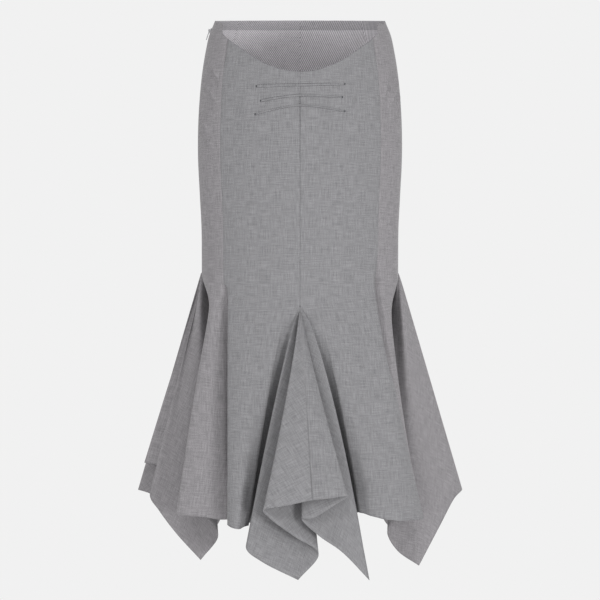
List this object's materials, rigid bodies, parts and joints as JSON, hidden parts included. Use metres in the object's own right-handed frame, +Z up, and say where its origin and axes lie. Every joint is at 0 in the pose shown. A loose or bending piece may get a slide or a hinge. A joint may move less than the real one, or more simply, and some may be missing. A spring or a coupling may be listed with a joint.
{
  "type": "skirt",
  "caption": "Fitted knee-flared skirt with a dipped front waist, panel seams, three pin tucks and square godets whose corners hang below the hem.",
  "frame": {"origin": "middle of the waist, level with the top of the side seams, where the wearer's waist holds the skirt", "axes": "+Z up, +X to the right of the front view, +Y from the front of the skirt to its back"},
  "size_m": [0.5481, 0.4791, 0.9282],
  "materials": {
    "wool": "fine grey birdseye wool, matt",
    "zip_tape": "woven tape, matt",
    "zip_metal": "grey coated metal, satin"
  },
  "bodies": {
    "skirt": {"front_godet_right": "wool", "front_centre_right": "wool", "front_side_right": "wool", "side_godet_right_front": "wool", "side_godet_right_back": "wool", "back_side_right": "wool", "back_centre_right": "wool", "back_centre_left": "wool", "back_side_left": "wool", "side_godet_left_back": "wool", "side_godet_left_front": "wool", "front_side_left": "wool", "front_centre_left": "wool", "front_godet_left": "wool", "pin_tuck_top": "wool", "pin_tuck_middle": "wool", "pin_tuck_bottom": "wool", "zip_tape": "zip_tape", "zip_slider": "zip_metal"},
    "zip_pull": {"zip_pull": "zip_metal"}
  },
  "joints": [
    {"name": "zip_pull_hinge", "type": "hinge", "parent": "skirt", "child": "zip_pull", "pos_m": [-0.15302, -0.00016, -0.0159], "axis": [0, 1, 0], "range_deg": [0, 140]}
  ]
}
